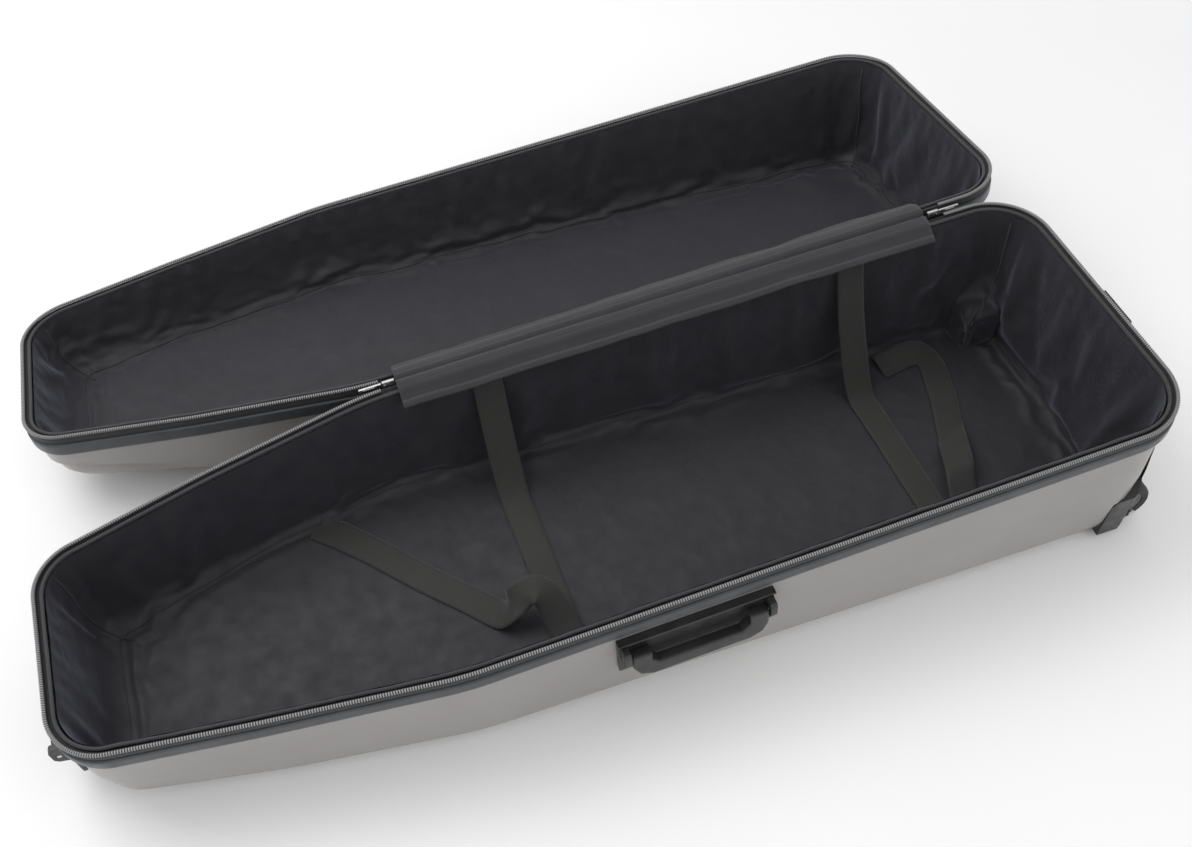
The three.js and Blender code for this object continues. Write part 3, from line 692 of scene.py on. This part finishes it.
def face_inwards(obj, middle):
    """Turns every face of an open shell to the side of the point given."""
    bm = bmesh.new()
    bm.from_mesh(obj.data)
    bmesh.ops.recalc_face_normals(bm, faces=bm.faces)
    score = sum(
        (Vector(middle) - f.calc_center_median()).normalized().dot(f.normal) * f.calc_area()
        for f in bm.faces)
    if score < 0:
        bmesh.ops.reverse_faces(bm, faces=bm.faces)
    bm.to_mesh(obj.data)
    bm.free()
    obj.data.update()


def before_skin(co, tree, matrix, gap):
    """Brings points that lie behind a skin to its front, along the line to the shell's middle."""
    inverse = matrix.inverted()
    out = co.copy()
    for k, q in enumerate(co):
        local = inverse @ Vector(q)
        eye = matrix @ Vector((max(-0.45, min(0.42, local.x)), -0.2, -0.02))
        way = Vector(q) - eye
        hit = tree.ray_cast(eye, way.normalized(), way.length + 0.02)
        if hit[0] is not None and (hit[0] - eye).length < way.length + gap:
            out[k] = eye + way.normalized() * ((hit[0] - eye).length - gap)
    return out


def mesh_area(obj):
    return sum(f.area for f in obj.data.polygons)


def vertex_data(mesh, what="co"):
    out = np.zeros(len(mesh.vertices) * 3, np.float32)
    mesh.vertices.foreach_get(what, out)
    return out.reshape(-1, 3).astype(float)


def set_coords(obj, co):
    obj.data.vertices.foreach_set("co", co.astype(np.float32).ravel())
    obj.data.update()


def hold_inside(co, tree, least, most):
    """Keeps points on the inner side of a skin, from least to most away from it."""
    out = co.copy()
    for k, q in enumerate(co):
        at, normal, _, distance = tree.find_nearest(Vector(q))
        away = (Vector(q) - at).dot(normal)
        if away < least or distance > most and away > 0:
            d = least if away < least else most
            direction = normal if away < least else (Vector(q) - at).normalized()
            out[k] = at + direction * d
    return out


def simulate(jobs):
    """Drops each cloth into its shell; the cloth is cut larger than the shell, so it folds."""
    for cloth, pins, collider in jobs:
        group = cloth.vertex_groups.new(name="pins")
        for weight, members in pins:
            group.add([int(k) for k in members], weight, "REPLACE")
        m = cloth.modifiers.new("cloth", "CLOTH")
        st = m.settings
        st.quality = 5
        st.mass = 0.12
        st.air_damping = 2.0
        st.tension_stiffness = 12
        st.compression_stiffness = 12
        st.shear_stiffness = 4
        st.bending_stiffness = 0.5
        st.vertex_group_mass = "pins"
        st.pin_stiffness = 1
        st.shrink_min = -GROWTH
        st.shrink_max = -GROWTH
        m.collision_settings.distance_min = 0.002
        m.collision_settings.collision_quality = 2
        m.collision_settings.use_self_collision = False
        m.point_cache.frame_start = 1
        m.point_cache.frame_end = CLOTH_FRAMES
        collider.modifiers.new("collide", "COLLISION")
        collider.collision.thickness_outer = 0.002
        collider.collision.cloth_friction = 8
    SCENE.frame_start, SCENE.frame_end = 1, CLOTH_FRAMES
    for f in range(1, CLOTH_FRAMES + 1):
        SCENE.frame_set(f)
    dg = bpy.context.evaluated_depsgraph_get()
    results = [vertex_data(cloth.evaluated_get(dg).data) for cloth, *_ in jobs]
    for (cloth, _, collider), co in zip(jobs, results):
        cloth.modifiers.clear()
        cloth.vertex_groups.clear()
        set_coords(cloth, co)
        bpy.data.objects.remove(collider)
    SCENE.frame_set(1)


def crumple(co, normals, seed, size, height):
    """Fine creases: ridged noise along the normals."""
    out = co.copy()
    shift = Vector((seed, seed * 0.7, seed * 1.3))
    for k in range(len(co)):
        q = Vector(co[k]) + shift
        a = 1 - abs(noise.noise(q / size)) * 2
        b = 1 - abs(noise.noise(q / (size * 0.45) + shift)) * 2
        out[k] += normals[k] * height * (max(a, 0) ** 3 + 0.5 * max(b, 0) ** 3)
    return out


def subdivided(obj, levels):
    m = obj.modifiers.new("finer", "SUBSURF")
    m.levels = m.render_levels = levels
    dg = bpy.context.evaluated_depsgraph_get()
    finer = bpy.data.meshes.new_from_object(obj.evaluated_get(dg))
    obj.modifiers.clear()
    old = obj.data
    obj.data = finer
    bpy.data.meshes.remove(old)
    finer.name = obj.name
    obj.data.polygons.foreach_set("use_smooth", [True] * len(obj.data.polygons))


def calm_floor(co, cloth, matrix, wall_points):
    """Evens out the small ripples over the middle of the floor, where the cloth lies flat and smooth."""
    edges = np.array([e.vertices[:] for e in cloth.data.edges])
    local = placed(co, matrix.inverted())
    x, y = local[:, 0], local[:, 1]
    away = np.minimum.reduce([-y - 0.03, y + WIDTH - 0.03, x + 0.57, 0.60 - x])
    weight = smoothstep(away, 0.0, 0.09)
    weight[:wall_points] = 0
    out = co.copy()
    degree = np.bincount(edges.ravel(), minlength=len(co))[:, None]
    for _ in range(14):
        total = np.zeros_like(out)
        np.add.at(total, edges[:, 0], out[edges[:, 1]])
        np.add.at(total, edges[:, 1], out[edges[:, 0]])
        out += (total / degree - out) * (0.85 * weight)[:, None]
    return out


def make_linings():
    made = []
    jobs = []
    for prefix, depth0, slope, matrix, seed in (
        ("base", BASE_DEPTH, BASE_SLOPE, RIM, 3), ("lid", LID_DEPTH, LID_SLOPE, LID, 8),
    ):
        cloth, count = cup_sheet(f"{prefix}_lining_cloth", depth0, slope, matrix, seed)
        middle = placed(np.array([[0.0, -0.2, -0.05]]), matrix)[0]
        verts, polys = inner_skin(f"{prefix}_lining", middle)
        tree = BVHTree.FromPolygons(verts, polys)
        face_inwards(cloth, middle)
        co = before_skin(vertex_data(cloth.data), tree, matrix, 0.004)
        co = hold_inside(co, tree, 0.003, 0.05)
        shake = np.array([
            [noise.noise(Vector(q) * 22 + Vector((seed, c * 7, 1))) for c in range(3)] for q in co])
        top = np.arange(count)
        fixed = np.zeros(len(co), bool)
        fixed[top] = True
        co[~fixed] += shake[~fixed] * 0.003
        set_coords(cloth, co)
        flat_area = mesh_area(cloth)
        collider = new_object(f"{prefix}_collider", verts, polys)
        made.append((prefix, cloth, tree, count, flat_area, seed))
        pins = [(1.0, top), (0.5, top + count)]
        jobs.append((cloth, pins, collider))
    simulate(jobs)
    trees = {}
    for prefix, cloth, tree, count, flat_area, seed in made:
        co = calm_floor(vertex_data(cloth.data), cloth, MATRICES[prefix], count * WALL_ROWS)
        co = hold_inside(co, tree, 0.0012, 0.030)
        set_coords(cloth, co)
        wall = co[: count * WALL_ROWS].reshape(WALL_ROWS, count, 3).copy()
        subdivided(cloth, 1)
        co = crumple(vertex_data(cloth.data), vertex_data(cloth.data, "normal"), seed, 0.050, 0.0006)
        co = hold_inside(co, tree, 0.0008, 0.034)
        set_coords(cloth, co)
        finish_piece(cloth, prefix, LINING, "lining", f"{prefix}_lining")
        polys = [list(f.vertices) for f in cloth.data.polygons]
        trees[prefix] = (BVHTree.FromPolygons([Vector(q) for q in co], polys), wall)
    return trees


CLOTH = make_linings()


def make_seams():
    """Bound seams where the lining's panels meet: down the wide end's corners and along the floor's edge."""
    for prefix in ("base", "lid"):
        tree, wall = CLOTH[prefix]
        count = wall.shape[1]
        x = COARSE.p[:, 0]
        y = COARSE.p[:, 1]
        picks = {
            "wide_rear": int(np.argmin(np.hypot(x - 0.632, y + 0.028))),
            "wide_front": int(np.argmin(np.hypot(x - 0.632, y + 0.378))),
            "narrow_rear": int(np.argmin(np.hypot(x + 0.628, y + 0.110))),
            "narrow_front": int(np.argmin(np.hypot(x + 0.628, y + 0.330))),
        }
        for name, k in picks.items():
            line = wall[1:, k]
            line = on_cloth(line, tree, 0.0006)
            o = tube(f"{prefix}_seam_{name}", line, 0.0011, 6)
            finish_piece(o, prefix, BINDING, "piping")
        line = on_cloth(wall[-3], tree, 0.0004)
        line = np.array([(line[i - 1] + 2 * line[i] + line[(i + 1) % count]) / 4 for i in range(count)])
        o = tube(f"{prefix}_seam_floor", line, 0.0010, 6, closed=True)
        finish_piece(o, prefix, LINING, "lining")


def on_cloth(line, tree, lift):
    out = []
    for q in line:
        at, normal, _, _ = tree.find_nearest(Vector(q))
        out.append(at + normal * lift)
    return np.array(out)


make_seams()


# ---- rim: lip, zip and binding ----------------------------------------------------------------------
def coil_line(matrix, name):
    """The closed zip's half left on a shell: a coil of nylon teeth standing on the tape's edge."""
    at = np.arange(HINGE_LEN + 0.022, FINE.total - 0.022, 0.0005)
    path = Rim(at=at)
    phase = 2 * math.pi * at / TOOTH
    sides = 8
    angle = 2 * math.pi * np.arange(sides) / sides
    swell = 0.72 + 0.28 * (0.5 + 0.5 * np.cos(phase))
    radius = 0.0021 * swell[:, None]
    inset = 0.0034 + radius * np.cos(angle)[None] * 1.15 - 0.0004 * np.cos(phase)[:, None]
    z = 0.0001 + radius * np.sin(angle)[None]
    pts = np.concatenate([path.points(inset), z[:, :, None]], 2)
    flip = np.linalg.det(np.array(matrix.to_3x3())) < 0
    return grid(name, placed(pts, matrix), at, angle * 0.002, loop_v=True, caps=True, flip=flip)


def make_rims():
    for prefix, matrix in MATRICES.items():
        lip = rounded([
            (0.0004, -0.0280), (0.0014, -0.0302), (0.0046, -0.0302), (0.0046, -0.0126), (0.0020, -0.0124),
            (0.0002, -0.0142),
        ], 0.0012)
        o = rim_sweep(f"{prefix}_lip_rim", lip, matrix)
        finish_piece(o, prefix, LIP, "lip_band", f"{prefix}_lip_band")
        tape = rounded([
            (0.0029, -0.0122), (0.0047, -0.0122), (0.0047, -0.0058), (0.0086, -0.0052), (0.0088, -0.0044),
            (0.0044, -0.0042), (0.0042, -0.0024), (0.0030, -0.0024),
        ], 0.0005, 2)

        def ripple(s, section, seed=len(prefix)):
            wave = np.array([noise.noise(Vector((v * 9, seed, 0))) for v in s])
            shift = wave[:, None] * 0.0003 * np.ones(len(section))
            return shift, shift

        o = rim_sweep(f"{prefix}_tape_cloth", tape, matrix, wobble=ripple)
        finish_piece(o, prefix, TAPE, "zip_tape", f"{prefix}_zip_tape")
        o = coil_line(matrix, f"{prefix}_coil_teeth")
        finish_piece(o, prefix, COIL, "zip_coil", f"{prefix}_zip_coil")

        def sway(s, section, seed=len(prefix) + 5):
            wave = np.array([noise.noise(Vector((v * 14, seed, 3))) for v in s])
            wave2 = np.array([noise.noise(Vector((v * 40, seed, 9))) for v in s])
            one = np.ones(len(section))
            return (wave * 0.0007 + wave2 * 0.0003)[:, None] * one, (wave2 * 0.0006)[:, None] * one

        angle = np.linspace(0, 2 * math.pi, 11)[:-1]
        cord = np.stack([0.0114 + 0.0021 * np.cos(angle), -0.0026 + 0.0021 * np.sin(angle)], 1)
        o = rim_sweep(f"{prefix}_binding_cord", cord, matrix, wobble=sway)
        finish_piece(o, prefix, BINDING, "piping", f"{prefix}_piping")


make_rims()


# ---- the cloth hinge --------------------------------------------------------------------------------
def make_hinge():
    """One hemmed cloth from inside the base, over both rims, into the lid."""
    half = [(0.033, -0.0075), (0.0255, -0.0050), (0.0195, -0.0025), (0.0140, 0.0008), (0.0070, 0.0022),
            (0.0010, 0.0022), (-0.0020, 0.0008), (-0.0042, -0.0010)]
    fine = []
    k = np.arange(len(half))
    for t in np.linspace(0, len(half) - 1, 34):
        fine.append([np.interp(t, k, [h[0] for h in half]), np.interp(t, k, [h[1] for h in half])])
    fine = np.array(fine)
    us = np.arange(0, HINGE_LEN + 0.002, 0.004)
    xs = HINGE_FROM - 0.001 + us
    rows = []
    for matrix, line, seed in ((RIM, fine, 1), (LID, fine[::-1], 2)):
        pts = np.zeros((len(us), len(line), 3))
        for i, x in enumerate(xs):
            for j, (inset, z) in enumerate(line):
                inside = max(0.0, (inset - 0.012) / 0.021)
                soft = noise.noise(Vector((x * 11, inset * 30, seed))) * 0.0035 * inside
                soft += noise.noise(Vector((x * 30, inset * 60, seed + 4))) * 0.0012 * inside
                over = noise.noise(Vector((x * 16, inset * 40, seed + 9))) * 0.0007
                droop = 0.004 * inside * (1 if seed == 1 else 0.4)
                pts[i, j] = (x, -inset - 0.002 * soft, z + soft + over - droop + 0.0006)
        rows.append(placed(pts, matrix))
    sheet = np.concatenate(rows, 1)
    for _ in range(3):
        mid = slice(30, 38)
        sheet[:, mid] = (sheet[:, 29:37] + sheet[:, mid] * 2 + sheet[:, 31:39]) / 4
    v = arc_lengths(sheet[len(us) // 2], closed=False)
    o = grid("hinge_cloth", sheet, us, v, flip=True)
    thick = o.modifiers.new("hem", "SOLIDIFY")
    thick.thickness = 0.0012
    thick.offset = 0
    thick.use_even_offset = True
    dg = bpy.context.evaluated_depsgraph_get()
    o.data = bpy.data.meshes.new_from_object(o.evaluated_get(dg))
    o.modifiers.clear()
    o.data.materials.clear()
    o.data.materials.append(HINGE)
    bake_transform(o)
    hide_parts("base_hinge_band", "lid_hinge_flap")


make_hinge()


# ---- webbing ----------------------------------------------------------------------------------------
def catmull(points, step):
    pts = np.array(points, float)
    ext = np.vstack([2 * pts[0] - pts[1], pts, 2 * pts[-1] - pts[-2]])
    out = []
    for i in range(1, len(ext) - 2):
        a, b, c, d = ext[i - 1:i + 3]
        count = max(2, int(np.linalg.norm((c - b)[:3]) / step))
        for t in np.arange(count) / count:
            square, cube = 2 * a - 5 * b + 4 * c - d, 3 * b - a - 3 * c + d
            out.append(0.5 * (2 * b + (c - a) * t + square * t * t + cube * t ** 3))
    out.append(ext[-2])
    return np.array(out)


def lay_on(points, trees, least):
    """Raises the points that are less than least over a cloth to that height."""
    for tree in trees:
        for index in np.ndindex(points.shape[:2]):
            q = Vector(points[index])
            at, normal, _, _ = tree.find_nearest(q)
            if at is not None and (q - at).dot(normal) < least:
                points[index] = at + normal * least


def ribbon(name, controls, width=0.038, thickness=0.0016, trees=(), lift=0.0012, step=0.004):
    """Webbing through control points (x, y, z, wx, wy, wz); w is the direction across the strap."""
    line = catmull(controls, step)
    centre, across = line[:, :3], line[:, 3:]
    across = across / np.linalg.norm(across, axis=1)[:, None]
    along = np.gradient(centre, axis=0)
    along /= np.linalg.norm(along, axis=1)[:, None]
    across = across - (across * along).sum(1)[:, None] * along
    across /= np.linalg.norm(across, axis=1)[:, None]
    up = np.cross(across, along)
    n = 9
    t = np.linspace(-0.5, 0.5, n)
    u = arc_lengths(centre, closed=False)
    mid = centre[:, None] + across[:, None] * (t * width)[None, :, None]
    curl = np.array([[noise.noise(Vector((a * 18, b * 2, len(name)))) for b in t] for a in u]) * 0.0012
    mid = mid + up[:, None] * (curl[:, :, None] - (t ** 2)[None, :, None] * 0.0012)
    lay_on(mid, trees, lift + thickness / 2)
    if trees:
        for _ in range(4):
            mid[1:-1] = (mid[:-2] + 2 * mid[1:-1] + mid[2:]) / 4
        lay_on(mid, trees, thickness / 2 + 0.0003)
    h = thickness / 2
    edge = np.sqrt(np.clip(1 - (2 * np.abs(t)) ** 8, 0, 1)) * 0.85 + 0.15
    top = mid + up[:, None] * (h * edge)[None, :, None]
    low = mid - up[:, None] * (h * edge)[None, :, None]
    pts = np.concatenate([top, low[:, ::-1]], 1)
    v = np.concatenate([(t + 0.5) * width, width + 0.0016 + (0.5 - t[::-1]) * width])
    return grid(name, pts, u, v, loop_v=True, caps=True)


def level(x, y, z):
    q = LEVEL @ Vector((x, y, z))
    return q.x, q.y, q.z


def strap_controls(x, drift=0.0):
    """The anchored strap: from under the hinge cloth, slack down the wall, over the floor to the front."""
    depth = BASE_DEPTH + BASE_SLOPE * x
    run = [(-0.016, depth - 0.012), (-0.026, depth * 0.76), (-0.047, depth * 0.5), (-0.075, depth * 0.24),
           (-0.101, FLOOR_TOP + 0.011), (-0.126, FLOOR_TOP + 0.003), (-0.155, FLOOR_TOP + 0.001),
           (-0.220, FLOOR_TOP + 0.001), (-0.290, FLOOR_TOP + 0.001), (-0.356, FLOOR_TOP + 0.001)]
    out = []
    for k, (y, z) in enumerate(run):
        lean = drift * (k / (len(run) - 1))
        out.append((*level(x + lean, y, z), 1, 0.03 * math.sin(k * 1.3), 0.06 * math.sin(k * 0.9)))
    return out


def make_straps():
    base_tree = CLOTH["base"][0]
    for side, x, drift in (("left", -0.104, 0.006), ("right", 0.388, 0.010)):
        o = ribbon(f"{side}_webbing", strap_controls(x, drift), trees=(base_tree,))
        finish_piece(o, "base", WEBBING, "webbing", f"{side}_strap")
    for side, rx, ry in (("left", -0.100, -0.318), ("right", 0.438, -0.300)):
        front = ry - 0.024
        tab = []
        for a in np.linspace(-90, 90, 7):
            c, s = math.cos(math.radians(a)), math.sin(math.radians(a))
            tab.append((*level(rx, front + 0.0030 * c, 0.014 + 0.0030 * s), 1, 0, 0))
        tab.insert(0, (*level(rx, front - 0.022, 0.0098), 1, 0, 0))
        tab.append((*level(rx, front - 0.021, 0.0145), 1, 0, 0))
        o = ribbon(f"{side}_tab_webbing", tab, width=0.036, thickness=0.0012, step=0.001)
        finish_piece(o, "base", WEBBING, "webbing", f"{side}_ring_tab")
    tails = {
        "left": [(-0.100, -0.3195, 0.0112, 1, 0, 0), (-0.100, -0.3216, 0.0140, 1, 0, 0),
                 (-0.100, -0.3190, 0.0172, 1, 0, 0),
                 (-0.104, -0.300, 0.026, 0.97, 0.2, 0.1), (-0.110, -0.276, 0.044, 0.90, 0.40, 0.15),
                 (-0.120, -0.262, 0.056, 0.65, 0.72, 0.20), (-0.136, -0.258, 0.054, 0.35, 0.80, 0.48),
                 (-0.152, -0.262, 0.044, 0.30, 0.72, 0.62), (-0.164, -0.262, 0.026, 0.50, 0.72, 0.40),
                 (-0.176, -0.248, 0.012, 0.60, 0.80, 0.05), (-0.200, -0.220, 0.0090, 0.64, 0.77, 0),
                 (-0.240, -0.176, 0.0090, 0.68, 0.73, 0), (-0.280, -0.128, 0.0090, 0.72, 0.70, 0),
                 (-0.316, -0.088, 0.0090, 0.74, 0.67, 0), (-0.342, -0.064, 0.0100, 0.74, 0.67, 0),
                 (-0.352, -0.056, 0.0125, 0.74, 0.67, 0), (-0.346, -0.060, 0.0150, 0.74, 0.67, 0),
                 (-0.334, -0.072, 0.0140, 0.74, 0.67, 0)],
        "right": [(0.438, -0.3015, 0.0112, 1, 0, 0), (0.438, -0.3036, 0.0140, 1, 0, 0),
                  (0.438, -0.3010, 0.0172, 1, 0, 0),
                  (0.443, -0.280, 0.026, 0.98, 0.1, 0), (0.452, -0.256, 0.032, 0.95, 0.25, 0.05),
                  (0.466, -0.222, 0.024, 0.92, 0.38, 0.0), (0.482, -0.186, 0.012, 0.92, 0.40, 0),
                  (0.498, -0.142, 0.0095, 0.93, 0.38, 0), (0.508, -0.104, 0.0100, 0.95, 0.32, 0),
                  (0.513, -0.078, 0.0130, 0.85, 0.50, 0.1), (0.506, -0.062, 0.0190, 0.50, 0.80, 0.30),
                  (0.490, -0.058, 0.0210, 0.15, 0.90, 0.40), (0.466, -0.060, 0.0190, 0.05, 0.92, 0.38),
                  (0.440, -0.064, 0.0170, 0.05, 0.94, 0.32)],
    }
    for side, controls in tails.items():
        pts = [(*level(*c[:3]), *c[3:]) for c in controls]
        o = ribbon(f"{side}_tail_webbing", pts, trees=(base_tree,), step=0.003)
        finish_piece(o, f"{side}_strap_end", WEBBING, "webbing", f"{side}_tail_fold", f"{side}_tail")


make_straps()


# ---- stage, light, camera -----------------------------------------------------------------------------
STAGE_REACH = 90


def make_stage():
    r = STAGE_REACH
    ground = new_object("stage_floor", [(-r, -r, 0), (r, -r, 0), (r, r, 0), (-r, r, 0)], [(0, 1, 2, 3)])
    ground.location.z = -0.0004
    ground.data.materials.append(floor_material())
    world = bpy.data.worlds.new("studio")
    SCENE.world = world
    world.use_nodes = True
    sky = world.node_tree.nodes["Background"]
    sky.inputs["Color"].default_value = (1, 1, 1, 1)
    sky.inputs["Strength"].default_value = 0.80
    for name, place, target, size, power in (
        ("key", (-1.2, 0.9, 2.6), (0, 0, 0), 1.8, 42),
        ("fill", (1.8, -2.2, 1.7), (0, 0, 0.1), 2.0, 10),
        ("front", (-1.6, -2.4, 0.9), (0, -0.2, 0.1), 1.6, 8),
    ):
        data = bpy.data.lights.new(name, "AREA")
        data.size = size
        data.energy = power
        lamp = bpy.data.objects.new(name, data)
        lamp.location = place
        lamp.rotation_euler = (Vector(target) - Vector(place)).to_track_quat("-Z", "Y").to_euler()
        SCENE.collection.objects.link(lamp)
    SCENE.view_settings.view_transform = "Standard"
    SCENE.view_settings.look = "None"


def make_camera():
    """The photograph's view: 38 mm lens from above the front left, level within a quarter of a degree."""
    data = bpy.data.cameras.new("camera")
    data.sensor_width = 36
    data.lens = 37.96
    cam = bpy.data.objects.new("camera", data)
    right = Vector((0.9413, -0.3376, -0.0035))
    up = Vector((0.2684, 0.7420, 0.6143))
    back = right.cross(up)
    turn = Matrix((right, up, back)).transposed().to_4x4()
    cam.matrix_world = Matrix.Translation(LEVEL @ Vector((-0.30846, -0.99929, 1.3482))) @ turn
    SCENE.collection.objects.link(cam)
    SCENE.camera = cam


make_stage()
make_camera()
